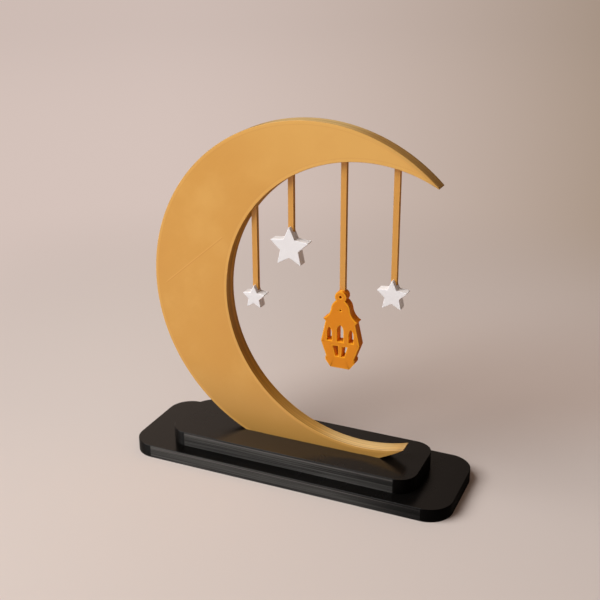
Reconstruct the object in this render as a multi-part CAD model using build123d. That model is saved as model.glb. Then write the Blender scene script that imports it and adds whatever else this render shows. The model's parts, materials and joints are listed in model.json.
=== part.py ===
from build123d import *
import os
from math import atan2, cos, degrees, radians, sin, sqrt

# Crescent moon ornament on a two-step plinth, with stars and a lantern on rods inside the moon.
# Millimetres. Origin: centre of the underside. +X right along the plinth, -Y front, +Z up.

# Plinth
LOWER_LENGTH = 200.0
LOWER_DEPTH = 63.0
LOWER_HEIGHT = 7.9
LOWER_CORNER = 14.5
UPPER_LENGTH = 155.0
UPPER_DEPTH = 46.0
UPPER_HEIGHT = 9.1
UPPER_CORNER = 11.0
PLINTH_CHAMFER = 0.15
PEG_RADIUS = 3.0
PEG_HEIGHT = 4.0
PEG_INSET = 16.0        # from each end of the upper plinth to the peg's axis
MORTISE_FLOOR = 1.5     # left under the mortise in the upper plinth

# Crescent
CRESCENT_RADIUS = 100.5     # outer circle
CRESCENT_BELLY = 47.5       # widest width, on the moon's axis
CRESCENT_MOUTH = 151.7      # between the two tips, where the circles cross
CRESCENT_THICKNESS = 9.0
CRESCENT_TILT = 5.0         # degrees that the open side looks down
CRESCENT_SHIFT = 9.2        # outer circle's centre, right of the plinth's centre
CRESCENT_CHAMFER = 0.25
TIP_RADIUS = 0.35
SEAT_LENGTH = 86.3          # flat that stands on the upper plinth
SHOULDER = 11.6             # seat left on each side of the tenon

# Rods
ROD_WIDTH = 3.2
ROD_DEPTH = 2.6
ROD_PLUG = 3.5          # length held in the crescent
STAR_PLUG = 6.0         # length held in a star, from its tip
RING_WEB = 0.55         # left between a rod's socket and the hole of the lantern's ring

# Rods' places, as a share of the inner edge from the upper tip back to the middle of the hollow,
# and their free lengths below that edge
SMALL_STAR_PLACE = 0.7185
SMALL_STAR_DROP = 44.6
LARGE_STAR_PLACE = 0.5365
LARGE_STAR_DROP = 27.4
LANTERN_PLACE = 0.3385
LANTERN_DROP = 72.3
MEDIUM_STAR_PLACE = 0.1615
MEDIUM_STAR_DROP = 60.7
PENDANT_FORWARD = 1.0   # middle of the stars and the lantern, in front of the rods' middle

# Stars
SMALL_STAR_RADIUS = 7.6
LARGE_STAR_RADIUS = 12.3
MEDIUM_STAR_RADIUS = 9.3
STAR_POINTS = 5
STAR_NOTCH = 0.47       # notch radius over tip radius
STAR_THICKNESS = 6.2
STAR_ROUND = 0.35
STAR_CHAMFER = 0.2

# Lantern, a flat plate that is the same on both sides of its axis
LANTERN_THICKNESS = 6.2
LANTERN_ROUND = 0.2
LANTERN_CHAMFER = 0.15
RING_RADIUS = 3.35
RING_HOLE_RADIUS = 0.8
NECK_WIDTH = 5.0
ROOF_SHOULDER_WIDTH = 11.0
ROOF_SHOULDER_HEIGHT = 4.6
ROOF_BULGE = 0.6
ROOF_FLARE_HEIGHT = 7.0
ROOF_FLARE_HOLLOW = 1.1
EAVES_WIDTH = 20.6
EAVES_LIP = 1.5
UNDER_EAVES_WIDTH = 17.6
BELLY_WIDTH = 23.1
UPPER_WALL_HEIGHT = 12.3
LOWER_WALL_HEIGHT = 9.2
WAIST_WIDTH = 16.4
FLANGE_LIP = 0.6            # that the flange stands out on each side of the waist
FLANGE_HEIGHT = 2.1
FOOT_WIDTH = 11.6
FOOT_HEIGHT = 4.0
MID_WINDOW_WIDTH = 4.0
MID_WINDOW_HEIGHT = 10.3
SIDE_WINDOW_WIDTH = 3.0
SIDE_WINDOW_HEIGHT = 8.4
SIDE_WINDOW_OFFSET = 6.5
WINDOW_SILL = 0.8           # from the belly line up to the windows' sills
ARCH_HEIGHT = 3.4           # pointed part of a window
ARCH_SWELL = 0.22           # bulge of an arch's sides over half its window's width
SLOT_TOP_DROP = 1.9         # from the belly line down to the slots
SLOT_HEIGHT = 6.3
SLOT_TOP_INNER = 1.2        # from the axis to the slot's edges
SLOT_TOP_OUTER = 4.5
SLOT_FOOT_INNER = 0.7
SLOT_FOOT_OUTER = 2.7
PIT_RADIUS = 0.6
PIT_DEPTH = 1.2
PIT_DROP = 5.5              # from the neck down to the roof's pit

# Clearances
SLIDE_FIT = 0.2         # around the tenon and the pegs
GLUE_FIT = 0.1          # around the rods in their sockets

# Worked out from the sizes above
PLATE_TOP = LOWER_HEIGHT + UPPER_HEIGHT
TENON_LENGTH = SEAT_LENGTH - 2 * SHOULDER
MORTISE_DEPTH = UPPER_HEIGHT - MORTISE_FLOOR
TENON_DEPTH = MORTISE_DEPTH - SLIDE_FIT
AXIS = Vector(cos(radians(CRESCENT_TILT)), -sin(radians(CRESCENT_TILT)))
SEAT_RISE = sqrt(CRESCENT_RADIUS ** 2 - (SEAT_LENGTH / 2) ** 2)
OUTER_CENTRE = Vector(CRESCENT_SHIFT, PLATE_TOP + SEAT_RISE)
OUTER_REACH = sqrt(CRESCENT_RADIUS ** 2 - (CRESCENT_MOUTH / 2) ** 2)
BELLY_REACH = CRESCENT_RADIUS - CRESCENT_BELLY
INNER_SHIFT = (CRESCENT_RADIUS ** 2 - BELLY_REACH ** 2) / (2 * (OUTER_REACH + BELLY_REACH))
INNER_RADIUS = INNER_SHIFT + BELLY_REACH
INNER_CENTRE = OUTER_CENTRE + AXIS * INNER_SHIFT
TIP_ANGLE = degrees(atan2(OUTER_REACH - INNER_SHIFT, CRESCENT_MOUTH / 2)) + CRESCENT_TILT
EDGE_SWEEP = TIP_ANGLE + 90 - CRESCENT_TILT     # degrees from the upper tip to the middle of the hollow
RING_PLUG = RING_RADIUS - RING_HOLE_RADIUS - RING_WEB - GLUE_FIT

# Each rod by what hangs on it: its place along the inner edge, and its free length
RODS = {
    "small_star": (SMALL_STAR_PLACE, SMALL_STAR_DROP),
    "large_star": (LARGE_STAR_PLACE, LARGE_STAR_DROP),
    "lantern": (LANTERN_PLACE, LANTERN_DROP),
    "medium_star": (MEDIUM_STAR_PLACE, MEDIUM_STAR_DROP),
}
STAR_RADII = {
    "small_star": SMALL_STAR_RADIUS,
    "large_star": LARGE_STAR_RADIUS,
    "medium_star": MEDIUM_STAR_RADIUS,
}


def plate(length, depth, corner, height, base):
    """A round-cornered plate with its top edge broken."""
    outline = RectangleRounded(length, depth, corner)
    solid = extrude(Pos(0, 0, base) * outline, amount=height)
    rim = solid.faces().sort_by(Axis.Z)[-1].edges()
    return chamfer(rim, PLINTH_CHAMFER)


def pegs(grow):
    """The two pegs under the upper plinth, or their sockets when grown by a clearance."""
    solids = []
    for side in (-1, 1):
        x = side * (UPPER_LENGTH / 2 - PEG_INSET)
        top = Pos(x, 0, LOWER_HEIGHT)
        solids.append(extrude(top * Circle(PEG_RADIUS + grow), amount=-(PEG_HEIGHT + grow)))
    return solids


def lower_plinth():
    solid = plate(LOWER_LENGTH, LOWER_DEPTH, LOWER_CORNER, LOWER_HEIGHT, 0)
    for socket in pegs(SLIDE_FIT):
        solid -= socket
    return solid


def upper_plinth():
    solid = plate(UPPER_LENGTH, UPPER_DEPTH, UPPER_CORNER, UPPER_HEIGHT, LOWER_HEIGHT)
    for peg in pegs(0):
        solid += peg
    mouth = Pos(CRESCENT_SHIFT, 0, PLATE_TOP)
    mortise = Rectangle(TENON_LENGTH + 2 * SLIDE_FIT, CRESCENT_THICKNESS + 2 * SLIDE_FIT)
    return solid - extrude(mouth * mortise, amount=-MORTISE_DEPTH)


def tip_centre(side):
    """Centre of the small round on a tip: inside the outer circle, outside the inner one."""
    from_outer = CRESCENT_RADIUS - TIP_RADIUS
    from_inner = INNER_RADIUS + TIP_RADIUS
    along = (INNER_SHIFT ** 2 + from_outer ** 2 - from_inner ** 2) / (2 * INNER_SHIFT)
    across = side * sqrt(from_outer ** 2 - along ** 2)
    return OUTER_CENTRE + AXIS * along + Vector(-AXIS.Y, AXIS.X) * across


def tip_points(side):
    """Where the tip's round leaves the outer circle, its end, and where it meets the inner circle."""
    centre = tip_centre(side)
    outward = (centre - OUTER_CENTRE).normalized()
    inward = (INNER_CENTRE - centre).normalized()
    end = (outward + inward).normalized()
    return centre + outward * TIP_RADIUS, centre + end * TIP_RADIUS, centre + inward * TIP_RADIUS


def moon_face():
    """The moon's outline: two long arcs and two tip arcs."""
    upper_outer, upper_end, upper_inner = tip_points(1)
    lower_outer, lower_end, lower_inner = tip_points(-1)
    back = OUTER_CENTRE - AXIS * CRESCENT_RADIUS
    hollow = INNER_CENTRE - AXIS * INNER_RADIUS
    edges = [
        ThreePointArc(upper_outer, back, lower_outer),
        ThreePointArc(lower_outer, lower_end, lower_inner),
        ThreePointArc(lower_inner, hollow, upper_inner),
        ThreePointArc(upper_inner, upper_end, upper_outer),
    ]
    return make_face(edges)


def upright(face, thickness, forward=0.0):
    """Extrude an outline drawn in X and Z evenly about a plane in front of the middle."""
    return extrude(Plane.XZ.offset(forward) * face, amount=thickness / 2, both=True)


def face_edges(solid):
    """The edges that lie in the front and the back face of an upright plate."""
    fronts = [solid.faces().sort_by(Axis.Y)[0], solid.faces().sort_by(Axis.Y)[-1]]
    return ShapeList(edge for face in fronts for edge in face.edges())


def crescent():
    face = moon_face()
    below = Pos(CRESCENT_SHIFT, PLATE_TOP - CRESCENT_RADIUS / 2)
    face -= below * Rectangle(2 * CRESCENT_RADIUS, CRESCENT_RADIUS)
    solid = upright(face, CRESCENT_THICKNESS)
    solid = chamfer(face_edges(solid).filter_by(GeomType.CIRCLE), CRESCENT_CHAMFER)
    tenon = Pos(CRESCENT_SHIFT, PLATE_TOP - TENON_DEPTH / 2) * Rectangle(TENON_LENGTH, TENON_DEPTH)
    solid += upright(tenon, CRESCENT_THICKNESS)
    for name in RODS:
        solid -= rod(name, GLUE_FIT)
    return solid


def rod_ends(name):
    """Where a rod leaves the crescent's inner edge, and where it reaches the top of its pendant."""
    place, drop = RODS[name]
    lean = radians(TIP_ANGLE - place * EDGE_SWEEP)
    start = INNER_CENTRE + Vector(sin(lean), cos(lean)) * INNER_RADIUS
    return start, start - Vector(0, drop)


def rod(name, grow=0.0):
    """A square rod from inside its pendant up into the crescent, or its sockets when grown."""
    start, end = rod_ends(name)
    plug = STAR_PLUG if name in STAR_RADII else RING_PLUG
    high = start.Y + ROD_PLUG + grow
    low = end.Y - plug - grow
    bar = Rectangle(ROD_WIDTH + 2 * grow, ROD_DEPTH + 2 * grow)
    return extrude(Pos(start.X, 0, low) * bar, amount=high - low)


def star(name):
    radius = STAR_RADII[name]
    top = rod_ends(name)[1]
    points = []
    for step in range(2 * STAR_POINTS):
        reach = radius if step % 2 == 0 else radius * STAR_NOTCH
        turn = step * radians(180 / STAR_POINTS)
        points.append((top.X + reach * sin(turn), top.Y - radius + reach * cos(turn)))
    outline = make_face(Polyline(points, close=True))
    outline = fillet(outline.vertices(), STAR_ROUND)
    solid = upright(outline, STAR_THICKNESS, PENDANT_FORWARD)
    solid = chamfer(face_edges(solid), STAR_CHAMFER)
    return solid - rod(name, GLUE_FIT)


def lancet(width, height):
    """A window with a pointed arch, its sill in the middle of X and at zero."""
    half = width / 2
    spring = height - ARCH_HEIGHT
    bulge = ARCH_SWELL * half
    lines = [
        Polyline((-half, spring), (-half, 0), (half, 0), (half, spring)),
        SagittaArc((half, spring), (0, height), -bulge),
        SagittaArc((0, height), (-half, spring), -bulge),
    ]
    return make_face(lines)


def lantern_half(neck):
    """The right half of the lantern's outline below its ring, from the neck's height down."""
    eaves = neck - ROOF_SHOULDER_HEIGHT - ROOF_FLARE_HEIGHT
    under = eaves - EAVES_LIP
    belly = under - UPPER_WALL_HEIGHT
    waist = belly - LOWER_WALL_HEIGHT
    flange = waist - FLANGE_HEIGHT
    foot = flange - FOOT_HEIGHT
    shoulder = (ROOF_SHOULDER_WIDTH / 2, neck - ROOF_SHOULDER_HEIGHT)
    tip = (EAVES_WIDTH / 2, eaves)
    lines = [
        Line((0, neck), (NECK_WIDTH / 2, neck)),
        SagittaArc((NECK_WIDTH / 2, neck), shoulder, ROOF_BULGE),
        SagittaArc(shoulder, tip, -ROOF_FLARE_HOLLOW),
        Polyline(
            tip,
            (UNDER_EAVES_WIDTH / 2, under),
            (BELLY_WIDTH / 2, belly),
            (WAIST_WIDTH / 2, waist),
            (WAIST_WIDTH / 2 + FLANGE_LIP, waist),
            (WAIST_WIDTH / 2 + FLANGE_LIP, flange),
            (FOOT_WIDTH / 2, foot),
            (0, foot),
            (0, neck),
        ),
    ]
    return make_face(lines), belly


def lantern():
    top = rod_ends("lantern")[1]
    ring = top.Y - RING_RADIUS
    neck = ring - sqrt(RING_RADIUS ** 2 - (NECK_WIDTH / 2) ** 2)
    half, belly = lantern_half(neck)
    face = half + mirror(half, Plane.YZ)
    face += Pos(0, ring) * Circle(RING_RADIUS)
    face = fillet(face.vertices(), LANTERN_ROUND)
    solid = upright(Pos(top.X, 0) * face, LANTERN_THICKNESS, PENDANT_FORWARD)
    solid = chamfer(face_edges(solid), LANTERN_CHAMFER)
    sill = belly + WINDOW_SILL
    slot_top = belly - SLOT_TOP_DROP
    slot_foot = slot_top - SLOT_HEIGHT
    slot = make_face(Polyline(
        (SLOT_TOP_INNER, slot_top),
        (SLOT_TOP_OUTER, slot_top),
        (SLOT_FOOT_OUTER, slot_foot),
        (SLOT_FOOT_INNER, slot_foot),
        close=True,
    ))
    holes = Pos(0, ring) * Circle(RING_HOLE_RADIUS)
    holes += Pos(0, sill) * lancet(MID_WINDOW_WIDTH, MID_WINDOW_HEIGHT)
    for side in (-1, 1):
        holes += Pos(side * SIDE_WINDOW_OFFSET, sill) * lancet(SIDE_WINDOW_WIDTH, SIDE_WINDOW_HEIGHT)
    holes += slot
    holes += mirror(slot, Plane.YZ)
    solid -= upright(Pos(top.X, 0) * holes, 2 * LANTERN_THICKNESS, PENDANT_FORWARD)
    front = PENDANT_FORWARD + LANTERN_THICKNESS / 2
    pit = Pos(top.X, neck - PIT_DROP) * Circle(PIT_RADIUS)
    solid -= upright(pit, 2 * PIT_DEPTH, front)
    return solid - rod("lantern", GLUE_FIT)


os.makedirs("parts", exist_ok=True)
export_step(lower_plinth(), "parts/lower_plinth.step")
export_step(upper_plinth(), "parts/upper_plinth.step")
export_step(crescent(), "parts/crescent.step")
export_step(lantern(), "parts/lantern.step")
for name in RODS:
    export_step(rod(name), f"parts/{name}_rod.step")
for name in STAR_RADII:
    export_step(star(name), f"parts/{name}.step")
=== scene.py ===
import json
from math import cos, radians, sin

import bmesh
import bpy
from mathutils import Matrix, Vector


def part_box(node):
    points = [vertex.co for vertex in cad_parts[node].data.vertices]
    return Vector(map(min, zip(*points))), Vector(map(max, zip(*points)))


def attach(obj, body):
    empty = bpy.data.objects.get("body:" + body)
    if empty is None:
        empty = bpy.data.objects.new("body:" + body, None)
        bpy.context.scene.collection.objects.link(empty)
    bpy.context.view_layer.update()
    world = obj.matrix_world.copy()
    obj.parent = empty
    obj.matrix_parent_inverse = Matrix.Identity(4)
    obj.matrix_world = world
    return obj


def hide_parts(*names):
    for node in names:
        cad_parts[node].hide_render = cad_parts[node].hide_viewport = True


# Crescent moon ornament in printed plastic: gold moon and rods, white stars, orange lantern, black plinth.
# Metres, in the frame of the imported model: +X right, -Y front, +Z up.
# A fade below is four numbers: as a value goes from the first to the second, the result goes smoothly
# from the third to the fourth.

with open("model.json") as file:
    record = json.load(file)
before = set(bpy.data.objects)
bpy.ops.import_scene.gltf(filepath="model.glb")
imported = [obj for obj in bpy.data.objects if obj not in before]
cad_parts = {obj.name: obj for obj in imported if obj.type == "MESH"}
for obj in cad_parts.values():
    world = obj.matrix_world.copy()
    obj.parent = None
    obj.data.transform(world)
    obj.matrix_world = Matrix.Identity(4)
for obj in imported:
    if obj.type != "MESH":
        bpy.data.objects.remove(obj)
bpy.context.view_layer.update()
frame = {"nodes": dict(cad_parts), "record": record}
nodes = frame["nodes"]
record = frame["record"]
SLOTS = {part["node"]: part["material_slot"] for part in record["subparts"]}
MM = 0.001
X, Y, Z = 0, 1, 2
MIX_FIRST, MIX_SECOND, MIX_RESULT = 6, 7, 2     # a mix node's sockets for colours
TINY = 0.001                # least number that anything is divided by

# Camera
CAMERA_AZIMUTH = 23.98      # degrees to the right of the front
CAMERA_ELEVATION = 21.455
CAMERA_ROLL = -0.21
CAMERA_DISTANCE = 561.46 * MM
CAMERA_TARGET = Vector((0.55, 0.0, 105.0)) * MM
CAMERA_LENS = 59.51         # on a 36 mm sensor
CAMERA_NEAR = 0.01          # it sees nothing nearer or farther than these
CAMERA_FAR = 50

# Lamp
KEY_AZIMUTH = -51.0         # degrees to the right of the front, so on the left
KEY_ELEVATION = 46.0
KEY_DISTANCE = 1.7
KEY_SIZE = 1.35
KEY_POWER = 35.5
KEY_COLOUR = (1.0, 1.0, 1.0)

# Room
ROOM_LEFT = (0.385, 0.30, 0.246, 1)         # as the plastic mirrors it, on the left and on the right
ROOM_RIGHT = (0.03, 0.022, 0.018, 1)
FILL_LEFT = (0.17, 0.137, 0.115, 1)         # what it sends into the shadows from those sides
FILL_RIGHT = (0.175, 0.123, 0.097, 1)
ROOM_SIDES = (-0.55, 0.0, 0, 1)             # fade by how far a direction points to the right

# Paper and backdrop: distances from the middle of the ornament, right and away as the camera sees it
FLOOR_SIZE = 40.0
FLOOR_COLOUR = (0.703, 0.622, 0.578, 1)
BACK_LEFT = (0.65, 0.572, 0.533, 1)         # paper behind the ornament, on the left and on the right
BACK_LEFT_SIDE = (-0.27, -0.1, 1, 0)
BACK_LEFT_AWAY = (-0.12, 0.1, 0, 1)
# painted shadow: paper behind the ornament on the right, darker and warmer where its shadow falls
BACK_RIGHT = (0.633, 0.526, 0.468, 1)
BACK_RIGHT_SIDE = (-0.1, 0.14, 0, 1)
BACK_RIGHT_AWAY = (-0.02, 0.09, 0, 1)
BACK_RIGHT_BEYOND = (0.1, 0.3, 1, 0.4)
MIRRORED_RIGHT = (0.06, 0.045, 0.035, 1)    # paper on the right as the plastic mirrors it
MIRRORED_SIDE = (0.02, 0.12, 0, 1)
FAR_LEFT = (0.615, 0.503, 0.459, 1)         # backdrop that the camera sees far behind, from left to right
FAR_RIGHT = (0.37, 0.283, 0.223, 1)
FAR_SPREAD = (-0.15, 0.295)                 # of that change, as shares of the distance
FAR_CURVE = 1.6                             # above 1, so that it is slow at first
FAR_ROUND = (0.24, 0.62, 0, 1)              # from paper to backdrop, by distance all round
GLOW_ROUND = (0.7, 2.6, 1.08, 1)            # strength of the backdrop, by distance all round

# Printing
MERGE = 0.001 * MM          # points nearer than this are one
LAYER = 0.25 * MM           # height of one printed layer
GROOVE = 0.15 * MM          # depth of the groove between two layers
FINE_GROOVE = 0.04 * MM     # the same on the stars and the lantern
ON_SEAM = 0.01              # a point nearer than this share of a layer lies where two layers meet
SHARP = radians(25)         # edges that turn more than this stay crisp
WALL = 0.5                  # a surface whose normal has less than this along the stack of layers is a wall
FLAT = 0.99                 # and one with more than this is a flat face
PLINTH_TOP = 0.9            # a plinth's surface whose normal has more than this upwards is its top
RIM = 0.5 * MM              # width of the lantern's outline strokes
RIM_DROP = 0.12 * MM        # that these strokes fall towards their outer edge
RASTER_TURN = radians(40)   # of the strokes that fill a flat face
STROKE = 0.02 * MM          # height of these strokes

# Tone of a print: how often it changes in a metre, across its marks and along them
LAYER_MARKS = (1100, 6)
STROKE_MARKS = (1500, 20)
PLINTH_MARKS = (1050, 7)
WALL_MARKS = (((1300, 5), 0.2), ((700, 5), 0.32))   # and how dark these are
PATCH_MARKS = 30.0                                  # the same all ways
MOON_PATCHES = 26.0
SHINE_PATCHES = 40.0
LAYER_SHARE = 0.4           # of the whole tone
STROKE_SHARE = 0.2
PATCH_SHARE = 0.4
TONE = (0.3, 0.7, 0, 1)
WALL_TONE = (0.35, 0.65)    # in which a streak on a wall goes from dark to none
ROUGH_SPREAD = 0.05         # by tone, up and down
TOP_SHINE = (0.3, 0.7, 0.2, 0.28)
TOP_RELIEF = 0.1            # of the strokes on the plinth's tops

# Fades by the way that a plate's surface looks: to the front or back, and upwards, which choose the painted
# shade and sheen colours of its walls
FACE = (0.86, 0.95, 0, 1)
LOOKS_UP = (0.93, 1.0, 0, 1)
SLOPES_UP = (0.65, 0.92, 0, 1)

# Plastics
GOLD = (0.768, 0.392, 0.073, 1)
GOLD_DARK = (0.735, 0.368, 0.067, 1)
# paler gold: random patches and the scratch's pale line, painted light on the crown, and painted highlight
# on edge strokes and chamfers
PALE_GOLD = (0.84, 0.472, 0.112, 1)
DEEP_GOLD = (0.70, 0.31, 0.055, 1)
# painted shade: the moon's face low down above the plinth, and its outline stroke at the horn
SHADED_LOW_GOLD = (0.585, 0.316, 0.069, 1)
# painted shade: walls of the gold pieces, deeper in tone as they look in shade
SHADED_WALL_GOLD = (0.79, 0.352, 0.045, 1)
# painted sheen and shade: walls that slope upwards
SHEEN_SLOPE_GOLD = (0.68, 0.355, 0.075, 1)
# painted shade: the moon's outer wall
SHADED_SHOULDER_GOLD = (0.56, 0.30, 0.085, 1)
# painted sheen: walls that look up, paler as they catch the lamp
SHEEN_TOP_GOLD = (0.83, 0.545, 0.21, 1)
# painted shade: the rods' gold, a little darker than the moon's where they sit back behind its face
ROD_GOLD = (0.765, 0.38, 0.070, 1)
ROD_GOLD_DARK = (0.72, 0.345, 0.062, 1)
WHITE = (0.955, 0.965, 0.995, 1)
WHITE_DARK = (0.92, 0.93, 0.96, 1)
# painted light: the stars' walls, as light as their faces and warmer, for the light that fills their shaded
# sides; and their tops, set for how the lamp lights them
LIT_WHITE_WALL = (0.96, 0.94, 0.93, 1)
LIT_WHITE_TOP = (0.96, 0.92, 0.90, 1)
ORANGE = (0.835, 0.285, 0.016, 1)
ORANGE_DARK = (0.79, 0.26, 0.012, 1)
# painted highlight: the lantern's outline strokes, chamfers and window walls; painted shade on its other
# walls; painted highlight on its sills and walls that look up
HIGHLIGHT_ORANGE = (0.95, 0.40, 0.018, 1)
SHADED_ORANGE_WALL = (0.84, 0.22, 0.005, 1)
LIT_ORANGE_TOP = (0.98, 0.46, 0.040, 1)
BLACK = (0.0022, 0.0020, 0.0019, 1)
TOP_BLACK = (0.0030, 0.0026, 0.0023, 1)
STREAK_DARK = (0.023, 0.023, 0.0225, 1)
STREAK_PALE = (0.122, 0.122, 0.117, 1)
STREAK_HIGHLIGHT = (0.27, 0.255, 0.25, 1)
WALL_STREAK = (0, 0, 0, 1)

# Moon
MOON_OUTSIDE = (9.2 * MM, 107.77 * MM, 100.5 * MM)      # middle and radius of its two edges
MOON_INSIDE = (39.74 * MM, 105.1 * MM, 83.65 * MM)
CROWN_RIGHT = 0.6           # the way to its crown, to the right and up
CROWN_UP = 0.8
LIT_CROWN = (110 * MM, 175 * MM, 0, 0.9)   # that way: painted light, paler towards the crown
PALE_PATCH = (0.48, 0.75, 0, 0.75)
DEEP_PATCH = (0.3, 0.5, 0.25, 0)
SHADED_LOW_LIMB = (15 * MM, 65 * MM, 0.8, 0)       # by height: painted shade, darker low down above the plinth
HORN = (25 * MM, 78 * MM, 0, 1)             # to the right: where the outline stroke is painted shade instead of highlight
HORN_EDGE = (1 * MM, 3 * MM, 1, 0)          # from its outer edge
SHOULDER = (1 * MM, 2 * MM, 1, 0)           # from its outer edge: painted shade on the moon's outer wall
OUTLINE = (1.3 * MM, 2.3 * MM, 0.6, 0)      # the print's stroke along both edges, painted paler as a highlight
SEAM_OUTER = (1.7 * MM, 2.1 * MM, 0, 1)     # dark line inside that stroke
SEAM_INNER = (2.1 * MM, 2.6 * MM, 0.3, 0)
FIRST_SEAM = 3.9 * MM       # in front of its middle, where its outermost layers part from the rest
FIRST_LINE = (0.15 * MM, 0.4 * MM, 0.5, 0)
SCRATCH = (Vector((-86, 103)) * MM, Vector((-44.7, 138)) * MM)
SCRATCH_START = 6 * MM      # length in which it comes, and in which it goes
SCRATCH_END = 2 * MM
SCRATCH_LINE = (0.1 * MM, 0.4 * MM, 0.75, 0)
SCRATCH_GAP = 0.55 * MM     # from its dark line to its pale one

# Lantern and plinth
LANTERN_WINDOWS = (8.1 * MM, 7.0 * MM, 27.0 * MM)       # reach from its middle, and heights above its foot
LOWER_CORNER = 14.5 * MM
UPPER_CORNER = 11 * MM
BEFORE_CORNER = 0.4 * MM    # matt turns to gloss from this far before a round corner starts
PAST_CORNER = 0.2 * MM      # to this far past its start
WALL_ENDS = 0.25 * MM       # and again from this far below the top edge
TOP_STARTS = 0.1 * MM       # to this far below it
SHORT_SIDES = 0.1           # how matt the short sides are
PLINTH_TONE = (0.36, 0.66, 0, 1)
HIGHLIGHT_LAYER = 1.4 * MM       # below the top edge of each plinth: a painted highlight line
HIGHLIGHT_LINE = (0.1 * MM, 0.4 * MM, 0.6, 0)
SHADE_FROM = 0.3             # shares of the half length in which painted shade darkens the streaks to the right
SHADE_TO = 0.85
LOWER_SHADE = 0.82           # and how far, on each plinth and at its right end
UPPER_SHADE = 0.35
CORNER_SHADE = 0.75
GLOSS = 0.2                 # roughness of the corners and of the straight runs
MATT = 0.5


def direction(azimuth, elevation):
    """Unit vector from the object towards a place seen at these angles, azimuth 0 being the front."""
    a, e = radians(azimuth), radians(elevation)
    return Vector((sin(a) * cos(e), -cos(a) * cos(e), sin(e)))


def add_object(name, data):
    """Put new data into the scene."""
    item = bpy.data.objects.new(name, data)
    bpy.context.scene.collection.objects.link(item)
    return item


def add_mesh(name, shape):
    """Turn a finished bmesh into an object in the scene."""
    mesh = bpy.data.meshes.new(name)
    shape.to_mesh(mesh)
    shape.free()
    return add_object(name, mesh)


def make_camera():
    """The camera, placed by its angles and its distance from the target, and rolled a little."""
    back = direction(CAMERA_AZIMUTH, CAMERA_ELEVATION)
    right = Vector((0, 0, 1)).cross(back).normalized()
    up = back.cross(right)
    roll = radians(CAMERA_ROLL)
    right, up = right * cos(roll) + up * sin(roll), up * cos(roll) - right * sin(roll)
    data = bpy.data.cameras.new("camera")
    data.lens = CAMERA_LENS
    data.clip_start = CAMERA_NEAR
    data.clip_end = CAMERA_FAR
    camera = add_object("camera", data)
    turn = Matrix((right, up, back)).transposed().to_4x4()
    camera.matrix_world = Matrix.Translation(CAMERA_TARGET + back * CAMERA_DISTANCE) @ turn
    bpy.context.scene.camera = camera


def make_lamp():
    """A square softbox that looks at the middle of the ornament."""
    towards = direction(KEY_AZIMUTH, KEY_ELEVATION)
    data = bpy.data.lights.new("key", "AREA")
    data.shape = "SQUARE"
    data.size = KEY_SIZE
    data.energy = KEY_POWER
    data.color = KEY_COLOUR
    lamp = add_object("key", data)
    lamp.location = CAMERA_TARGET + towards * KEY_DISTANCE
    lamp.rotation_mode = "QUATERNION"
    lamp.rotation_quaternion = towards.to_track_quat("Z", "Y")


def new_material(name):
    """An empty node material and its tree, with only the output left in it."""
    material = bpy.data.materials.new(name)
    material.use_nodes = True
    tree = material.node_tree
    tree.nodes.clear()
    tree.nodes.new("ShaderNodeOutputMaterial").name = "output"
    return material, tree


def plug(tree, socket, value):
    """Set a socket to a value, or link it to the socket that feeds it."""
    if isinstance(value, bpy.types.NodeSocket):
        tree.links.new(value, socket)
    else:
        socket.default_value = value


def put(tree, kind, settings=None, **inputs):
    """Add a node. Settings are its own properties; inputs are values or the sockets that feed them."""
    node = tree.nodes.new(kind)
    for key, value in (settings or {}).items():
        setattr(node, key, value)
    for key, value in inputs.items():
        plug(tree, node.inputs[key.replace("_", " ")], value)
    return node


def calc(tree, operation, first, second=0.0):
    """One step of arithmetic on numbers or sockets."""
    node = tree.nodes.new("ShaderNodeMath")
    node.operation = operation
    plug(tree, node.inputs[0], first)
    plug(tree, node.inputs[1], second)
    return node.outputs[0]


def weigh(tree, first, first_share, second, second_share):
    """Sum of two values, each times its share."""
    first = calc(tree, "MULTIPLY", first, first_share)
    second = calc(tree, "MULTIPLY", second, second_share)
    return calc(tree, "ADD", first, second)


def blend(tree, share, first, second):
    """Colour mixed from first to second."""
    node = tree.nodes.new("ShaderNodeMix")
    node.data_type = "RGBA"
    plug(tree, node.inputs[0], share)
    plug(tree, node.inputs[MIX_FIRST], first)
    plug(tree, node.inputs[MIX_SECOND], second)
    return node.outputs[MIX_RESULT]


def ramp(tree, value, low, high, start, end):
    """Smoothly from start to end as value goes from low to high."""
    node = put(tree, "ShaderNodeMapRange", {"interpolation_type": "SMOOTHSTEP"})
    for index, number in enumerate((value, low, high, start, end)):
        plug(tree, node.inputs[index], number)
    return node.outputs[0]


def measure(tree, operation, first, second=(0, 0, 0)):
    """Node for one step of arithmetic on vectors."""
    node = put(tree, "ShaderNodeVectorMath", {"operation": operation})
    plug(tree, node.inputs[0], first)
    plug(tree, node.inputs[1], second)
    return node


def here(tree):
    """Object coordinates."""
    return put(tree, "ShaderNodeTexCoord").outputs["Object"]


def place(tree):
    """Object coordinates, and the three of them one by one."""
    vector = here(tree)
    parts = put(tree, "ShaderNodeSeparateXYZ", Vector=vector).outputs
    return vector, parts[X], parts[Y], parts[Z]


def along(axis, fine, coarse):
    """A scale that is fine along one axis and coarse along the other two."""
    return tuple(fine if index == axis else coarse for index in (X, Y, Z))


def stretched(tree, scale, turn=(0, 0, 0)):
    """Object coordinates turned and then scaled along each axis."""
    turned = put(tree, "ShaderNodeMapping", Vector=here(tree), Rotation=turn)
    return put(tree, "ShaderNodeMapping", Vector=turned.outputs[0], Scale=scale).outputs[0]


def noise(tree, vector, scale=1.0, detail=2.0, roughness=0.5):
    """Soft random tone."""
    node = put(tree, "ShaderNodeTexNoise", Vector=vector, Scale=scale, Detail=detail, Roughness=roughness)
    return node.outputs[0]


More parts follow.
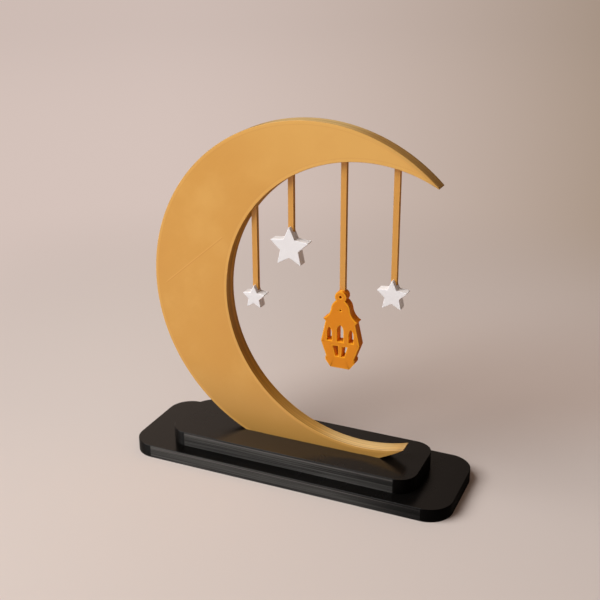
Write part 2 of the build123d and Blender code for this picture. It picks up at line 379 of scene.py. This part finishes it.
def shade(tree, **inputs):
    """The plastic's shader, wired to the output."""
    shader = put(tree, "ShaderNodeBsdfPrincipled", **inputs)
    tree.links.new(shader.outputs[0], tree.nodes["output"].inputs[0])


def strokes(tree, stack):
    """Tone from stroke to stroke on the flat faces of a print that is stacked along Y or Z."""
    other = Z if stack == Y else Y
    return noise(tree, stretched(tree, along(other, *STROKE_MARKS), along(stack, RASTER_TURN, 0)))


def bumps(tree, tone, share):
    """Normals that follow a tone as if it were raised, where share is 1."""
    return put(tree, "ShaderNodeBump", Height=tone, Strength=share, Distance=STROKE).outputs[0]


def grain(tree, stack):
    """Uneven tone from 0 to 1: from layer to layer, from stroke to stroke, and in soft patches."""
    layers = noise(tree, stretched(tree, along(stack, *LAYER_MARKS)), detail=3.0, roughness=0.6)
    patches = noise(tree, here(tree), PATCH_MARKS, detail=3.0)
    tone = weigh(tree, layers, LAYER_SHARE, strokes(tree, stack), STROKE_SHARE)
    tone = calc(tree, "ADD", tone, calc(tree, "MULTIPLY", patches, PATCH_SHARE))
    return ramp(tree, tone, *TONE)


def sides(tree):
    """How much a plate's surface is its face rather than its wall, and how far that wall looks up."""
    normal = put(tree, "ShaderNodeNewGeometry").outputs["Normal"]
    x, y, z = put(tree, "ShaderNodeSeparateXYZ", Vector=normal).outputs
    squares = calc(tree, "ADD", calc(tree, "MULTIPLY", x, x), calc(tree, "MULTIPLY", z, z))
    level = calc(tree, "MAXIMUM", calc(tree, "SQRT", squares), TINY)
    return ramp(tree, calc(tree, "ABSOLUTE", y), *FACE), calc(tree, "DIVIDE", z, level)


def plate(tree, tone, face, edge, wall, top, streaks, rough, **finish):
    """Plastic of a plate printed on its back: faces and their edges, walls, and walls that look up, each in
    its own colour; the colours of edges and walls are painted highlight, shade and sheen.
    """
    flat, up = sides(tree)
    side = blend(tree, ramp(tree, up, *LOOKS_UP), wall, top)
    for marks, dark in WALL_MARKS:
        layer = noise(tree, stretched(tree, along(Y, *marks)), detail=3.0, roughness=0.7)
        side = blend(tree, ramp(tree, layer, *WALL_TONE, streaks * dark, 0), side, WALL_STREAK)
    # marked chamfers, outline strokes and window walls take the edge colour: a painted highlight where it
    # is paler than the face, painted shade at the moon's horn
    rim = put(tree, "ShaderNodeAttribute", {"attribute_name": "rim"}).outputs["Fac"]
    colour = blend(tree, rim, blend(tree, flat, side, face), edge)
    shine = ramp(tree, tone, 0, 1, rough + ROUGH_SPREAD, rough - ROUGH_SPREAD)
    shade(tree, Base_Color=colour, Roughness=shine, Normal=bumps(tree, strokes(tree, Y), flat), **finish)


def printed_plastic(name, colour, dark, edge, wall, top, **finish):
    """Plastic printed lying on its back, in layers that stack from back to front."""
    material, tree = new_material(name)
    tone = grain(tree, Y)
    plate(tree, tone, blend(tree, tone, dark, colour), edge, wall, top, **finish)
    return material


def from_arc(tree, vector, arc):
    """How far a place is outside an arc, seen from the front."""
    middle_x, middle_z, radius = arc
    flat = measure(tree, "MULTIPLY", vector, (1, 0, 1)).outputs[0]
    distance = measure(tree, "DISTANCE", flat, (middle_x, 0, middle_z)).outputs["Value"]
    return calc(tree, "SUBTRACT", distance, radius)


def mottled(tree, tint, vector, x, z):
    """The moon's face with a crown paler as painted light, pale and deep patches, and a limb darker above
    the plinth as painted shade.
    """
    crown = weigh(tree, x, CROWN_RIGHT, z, CROWN_UP)
    tint = blend(tree, ramp(tree, crown, *LIT_CROWN), tint, PALE_GOLD)
    patch = noise(tree, vector, MOON_PATCHES, detail=4.0, roughness=0.55)
    tint = blend(tree, ramp(tree, patch, *PALE_PATCH), tint, PALE_GOLD)
    tint = blend(tree, ramp(tree, patch, *DEEP_PATCH), tint, DEEP_GOLD)
    return blend(tree, ramp(tree, z, *SHADED_LOW_LIMB), tint, SHADED_LOW_GOLD)


def scratched(tree, tint, x, z):
    """The moon's face with its long scratch, a dark line with a pale one beside it."""
    start, end = SCRATCH
    run = (end - start).normalized()
    length = (end - start).length
    right = calc(tree, "SUBTRACT", x, start.x)
    above = calc(tree, "SUBTRACT", z, start.y)
    far = weigh(tree, right, run.x, above, run.y)
    off = weigh(tree, above, run.x, right, -run.y)
    comes = ramp(tree, far, 0, SCRATCH_START, 0, 1)
    goes = ramp(tree, far, length - SCRATCH_END, length, 1, 0)
    reach = calc(tree, "MULTIPLY", comes, goes)
    for shift, mark in ((0, DEEP_GOLD), (SCRATCH_GAP, PALE_GOLD)):
        gap = calc(tree, "ABSOLUTE", calc(tree, "SUBTRACT", off, shift))
        line = ramp(tree, gap, *SCRATCH_LINE)
        tint = blend(tree, calc(tree, "MULTIPLY", line, reach), tint, mark)
    return tint


def moon_plastic(name, colour, dark, wall, top, **finish):
    """The moon's plastic: uneven, scratched faces with an outline stroke painted as a highlight, and walls
    with painted shade and sheen by slope.
    """
    material, tree = new_material(name)
    vector, x, y, z = place(tree)
    tone = grain(tree, Y)
    tint = mottled(tree, blend(tree, tone, dark, colour), vector, x, z)
    outside = calc(tree, "MULTIPLY", from_arc(tree, vector, MOON_OUTSIDE), -1)
    edge = calc(tree, "MINIMUM", outside, from_arc(tree, vector, MOON_INSIDE))
    shaded_horn = calc(tree, "MULTIPLY", ramp(tree, x, *HORN), ramp(tree, outside, *HORN_EDGE))
    stroke = blend(tree, shaded_horn, PALE_GOLD, SHADED_LOW_GOLD)
    tint = blend(tree, ramp(tree, edge, *OUTLINE), tint, stroke)
    seam = calc(tree, "MULTIPLY", ramp(tree, edge, *SEAM_OUTER), ramp(tree, edge, *SEAM_INNER))
    tint = scratched(tree, blend(tree, seam, tint, DEEP_GOLD), x, z)
    wall = blend(tree, ramp(tree, sides(tree)[1], *SLOPES_UP), wall, SHEEN_SLOPE_GOLD)
    wall = blend(tree, ramp(tree, outside, *SHOULDER), wall, SHADED_SHOULDER_GOLD)
    first = calc(tree, "ABSOLUTE", calc(tree, "ADD", y, FIRST_SEAM))
    top = blend(tree, ramp(tree, first, *FIRST_LINE), top, DEEP_GOLD)
    plate(tree, tone, tint, stroke, wall, top, **finish)
    return material


def plinth_plastic(name, node, corner, dark, **finish):
    """Black plastic of a plinth's walls: glossy round corners, and matt, streaked straight runs, whose
    streaks darken towards the right end as painted shade, with a painted highlight line below the top edge.
    """
    material, tree = new_material(name)
    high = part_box(node)[1]
    _, x, y, z = place(tree)
    runs = []
    for value, reach in ((x, high[X]), (y, high[Y])):
        size = calc(tree, "ABSOLUTE", value)
        start = reach - corner
        runs.append(ramp(tree, size, start - BEFORE_CORNER, start + PAST_CORNER, 1, 0))
    straight = calc(tree, "MAXIMUM", runs[0], calc(tree, "MULTIPLY", runs[1], SHORT_SIDES))
    wall = ramp(tree, z, high[Z] - WALL_ENDS, high[Z] - TOP_STARTS, 1, 0)
    matt = calc(tree, "MULTIPLY", straight, wall)
    streak = noise(tree, stretched(tree, along(Z, *PLINTH_MARKS)), detail=3.0, roughness=0.7)
    grey = blend(tree, ramp(tree, streak, *PLINTH_TONE), STREAK_DARK, STREAK_PALE)
    below = calc(tree, "ABSOLUTE", calc(tree, "SUBTRACT", high[Z] - HIGHLIGHT_LAYER, z))
    grey = blend(tree, ramp(tree, below, *HIGHLIGHT_LINE), grey, STREAK_HIGHLIGHT)
    grey = blend(tree, ramp(tree, x, SHADE_FROM * high[X], SHADE_TO * high[X], 0, dark), grey, BLACK)
    grey = blend(tree, ramp(tree, x, high[X] - corner, high[X], 0, CORNER_SHADE), grey, BLACK)
    colour = blend(tree, matt, BLACK, grey)
    rough = ramp(tree, matt, 0, 1, GLOSS, MATT)
    shade(tree, Base_Color=colour, Roughness=rough, Normal=bumps(tree, streak, matt), **finish)
    return material


def plinth_top_plastic(name, **finish):
    """Black plastic of the plinth's flat tops, glossier than its walls."""
    material, tree = new_material(name)
    rough = ramp(tree, noise(tree, here(tree), SHINE_PATCHES, detail=3.0), *TOP_SHINE)
    colour = blend(tree, grain(tree, Z), BLACK, TOP_BLACK)
    lines = bumps(tree, strokes(tree, Z), TOP_RELIEF)
    shade(tree, Base_Color=colour, Roughness=rough, Normal=lines, **finish)
    return material


def working_copy(node):
    """Bmesh of a CAD node without its own shading, its faces joined where they meet."""
    mesh = nodes[node].data.copy()
    mesh.attributes.remove(mesh.attributes["custom_normal"])
    shape = bmesh.new()
    shape.from_mesh(mesh)
    bpy.data.meshes.remove(mesh)
    bmesh.ops.remove_doubles(shape, verts=shape.verts[:], dist=MERGE)
    return shape


def set_off_rim(shape, mark, width):
    """Set off a marked stroke along every edge of the front face, falling towards that edge."""
    front = [face for face in shape.faces if face.normal.y < -FLAT]
    edges = [edge for edge in shape.edges if sum(face in front for face in edge.link_faces) == 1]
    outline = {vertex.co.to_tuple() for edge in edges for vertex in edge.verts}
    stroke = bmesh.ops.inset_region(
        shape, faces=front, thickness=width, use_boundary=True, use_even_offset=True
    )
    for face in stroke["faces"]:
        face[mark] = 1
    for vertex in shape.verts:
        if vertex.co.to_tuple() in outline:
            vertex.co.y += RIM_DROP


def mark_windows(shape, mark, node):
    """Mark the walls of the lantern's windows like its outline strokes, so that they take the same painted
    highlight.
    """
    (left, _, foot), (right, _, _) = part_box(node)
    reach, start, end = LANTERN_WINDOWS
    for face in shape.faces:
        middle = face.calc_center_median()
        within = abs(middle.x - (left + right) / 2) < reach and start < middle.z - foot < end
        if within and abs(face.normal.y) < WALL:
            face[mark] = 1


def press_grooves(shape, stack, low, half, layers, groove):
    """Draw the walls in where two layers meet, and keep the line between them crisp."""
    axis = Vector(along(stack, 1, 0))
    moves = {}
    for vertex in shape.verts:
        cut = (vertex.co[stack] - low) / half
        on_seam = abs(cut / 2 - round(cut / 2)) < ON_SEAM
        if on_seam and 1 < cut < 2 * layers - 1 and abs(vertex.normal[stack]) < WALL:
            outward = vertex.normal - axis * vertex.normal[stack]
            moves[vertex] = outward.normalized() * groove
    for edge in shape.edges:
        first, second = edge.verts
        if first in moves and second in moves and abs(first.co[stack] - second.co[stack]) < half / 2:
            edge.smooth = False
    for vertex, move in moves.items():
        vertex.co -= move


def layered(node, stack, groove, rim):
    """Copy of a CAD node whose walls show the rounded edge of each printed layer, stacked along one axis.

    The edges between its faces and walls are marked, and a rim sets off a stroke of that width along
    every edge of the front face.
    """
    shape = working_copy(node)
    mark = shape.faces.layers.float.new("rim")
    for face in shape.faces:
        face[mark] = float(WALL < abs(face.normal[stack]) < FLAT)
    if rim:
        set_off_rim(shape, mark, rim)
    low, high = (corner[stack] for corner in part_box(node))
    layers = round((high - low) / LAYER)
    half = (high - low) / layers / 2
    axis = Vector(along(stack, 1, 0))
    for cut in range(1, 2 * layers):
        everything = shape.verts[:] + shape.edges[:] + shape.faces[:]
        level = axis * (low + cut * half)
        bmesh.ops.bisect_plane(shape, geom=everything, dist=MERGE, plane_co=level, plane_no=axis)
    shape.normal_update()
    if rim:
        mark_windows(shape, mark, node)
    for face in shape.faces:
        face.smooth = True
    for edge in shape.edges:
        edge.smooth = edge.calc_face_angle(0) < SHARP
        if rim and len({face[mark] for face in edge.link_faces}) > 1:
            edge.smooth = False
    press_grooves(shape, stack, low, half, layers, groove)
    bmesh.ops.remove_doubles(shape, verts=shape.verts[:], dist=MERGE)
    return add_mesh(node + "_layers", shape)


def across(tree, x, y):
    """How far a place is to the right of the ornament's middle and away from it, as the camera sees it."""
    a = radians(CAMERA_AZIMUTH)
    return weigh(tree, x, cos(a), y, sin(a)), weigh(tree, y, cos(a), x, -sin(a))


def backdrop(tree, side):
    """Colour of the far backdrop, darker to the right."""
    low, high = FAR_SPREAD
    share = put(tree, "ShaderNodeMapRange", {"clamp": True}, Value=side, From_Min=low, From_Max=high)
    return blend(tree, calc(tree, "POWER", share.outputs[0], FAR_CURVE), FAR_LEFT, FAR_RIGHT)


def paper_colour(tree, right, away, mirrored):
    """Colour of the paper: a little darker behind the ornament, there on the right as a painted shadow, and
    dark on the right as it is mirrored.
    """
    behind = ramp(tree, away, *BACK_RIGHT_AWAY)
    behind = calc(tree, "MULTIPLY", behind, ramp(tree, away, *BACK_RIGHT_BEYOND))
    behind = calc(tree, "MULTIPLY", behind, ramp(tree, right, *BACK_RIGHT_SIDE))
    colour = blend(tree, behind, FLOOR_COLOUR, BACK_RIGHT)
    beside = calc(tree, "MULTIPLY", ramp(tree, right, *BACK_LEFT_SIDE), ramp(tree, away, *BACK_LEFT_AWAY))
    colour = blend(tree, beside, colour, BACK_LEFT)
    mirrored = calc(tree, "MULTIPLY", mirrored, ramp(tree, right, *MIRRORED_SIDE))
    return blend(tree, mirrored, colour, MIRRORED_RIGHT)


def make_floor():
    """Pale paper that runs on into a backdrop, as the camera and the glossy plastic see it."""
    shape = bmesh.new()
    bmesh.ops.create_grid(shape, x_segments=1, y_segments=1, size=FLOOR_SIZE / 2)
    floor = add_mesh("floor", shape)
    material, tree = new_material("floor_paper")
    vector, x, y, _ = place(tree)
    right, away = across(tree, x, y)
    path = put(tree, "ShaderNodeLightPath").outputs
    colour = paper_colour(tree, right, away, path["Is Glossy Ray"])
    paper = put(tree, "ShaderNodeBsdfPrincipled", Base_Color=colour, Roughness=0.9, Specular_IOR_Level=0.1)
    reach = measure(tree, "LENGTH", vector).outputs["Value"]
    side = calc(tree, "DIVIDE", right, calc(tree, "ADD", reach, CAMERA_DISTANCE))
    strength = ramp(tree, reach, *GLOW_ROUND)
    glow = put(tree, "ShaderNodeEmission", Color=backdrop(tree, side), Strength=strength)
    seen = calc(tree, "MAXIMUM", path["Is Camera Ray"], path["Is Glossy Ray"])
    far = calc(tree, "MULTIPLY", ramp(tree, reach, *FAR_ROUND), seen)
    mix = put(tree, "ShaderNodeMixShader", Fac=far)
    tree.links.new(paper.outputs[0], mix.inputs[1])
    tree.links.new(glow.outputs[0], mix.inputs[2])
    tree.links.new(mix.outputs[0], tree.nodes["output"].inputs[0])
    floor.data.materials.append(material)


def make_world():
    """A dim warm room, brighter on the left where the plastic mirrors it; the camera sees the backdrop."""
    world = bpy.data.worlds.new("studio")
    world.use_nodes = True
    tree = world.node_tree
    tree.nodes.clear()
    heading = put(tree, "ShaderNodeTexCoord").outputs["Generated"]
    x, y, _ = put(tree, "ShaderNodeSeparateXYZ", Vector=heading).outputs
    side = ramp(tree, x, *ROOM_SIDES)
    path = put(tree, "ShaderNodeLightPath").outputs
    fill = blend(tree, side, FILL_LEFT, FILL_RIGHT)
    room = blend(tree, side, ROOM_LEFT, ROOM_RIGHT)
    light = blend(tree, path["Is Glossy Ray"], fill, room)
    sight = blend(tree, path["Is Camera Ray"], light, backdrop(tree, across(tree, x, y)[0]))
    sky = put(tree, "ShaderNodeBackground", Color=sight)
    tree.links.new(sky.outputs[0], put(tree, "ShaderNodeOutputWorld").inputs[0])
    bpy.context.scene.world = world


make_camera()
make_floor()
make_world()
make_lamp()

gold = {"streaks": 1.0, "rough": 0.38, "IOR": 1.6}
moon_gold = moon_plastic("moon_gold", GOLD, GOLD_DARK, SHADED_WALL_GOLD, SHEEN_TOP_GOLD, **gold)
rod_gold = printed_plastic("rod_gold", ROD_GOLD, ROD_GOLD_DARK, PALE_GOLD, SHADED_WALL_GOLD, SHEEN_TOP_GOLD, **gold)
white = printed_plastic(
    "white_matt", WHITE, WHITE_DARK, WHITE, LIT_WHITE_WALL, LIT_WHITE_TOP,
    streaks=0.4, rough=0.5, IOR=1.45,
)
orange = printed_plastic(
    "orange_satin", ORANGE, ORANGE_DARK, HIGHLIGHT_ORANGE, SHADED_ORANGE_WALL, LIT_ORANGE_TOP,
    streaks=0.5, rough=0.42, IOR=1.25,
)
lower_black = plinth_plastic("lower_black", "lower_plinth", LOWER_CORNER, LOWER_SHADE, IOR=1.22)
upper_black = plinth_plastic("upper_black", "upper_plinth", UPPER_CORNER, UPPER_SHADE, IOR=1.22)
top_black = plinth_top_plastic("top_black", IOR=1.6)
OWN = {"crescent": moon_gold, "lower_plinth": lower_black, "upper_plinth": upper_black}
BY_SLOT = {"gold_plastic": rod_gold, "white_plastic": white, "orange_plastic": orange}

# The plinth was printed standing, the rest lying on its back
for body, members in record["behaviour"]["bodies"].items():
    for node in members:
        slot = SLOTS[node]
        plinth = slot == "black_plastic"
        groove = FINE_GROOVE if slot in ("white_plastic", "orange_plastic") else GROOVE
        piece = layered(node, Z if plinth else Y, groove, RIM if node == "lantern" else 0)
        piece.data.materials.append(OWN.get(node) or BY_SLOT[slot])
        if plinth:
            piece.data.materials.append(top_black)
            for face in piece.data.polygons:
                face.material_index = int(face.normal.z > PLINTH_TOP)
        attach(piece, body)
        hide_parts(node)

bpy.context.scene.view_settings.view_transform = "Standard"
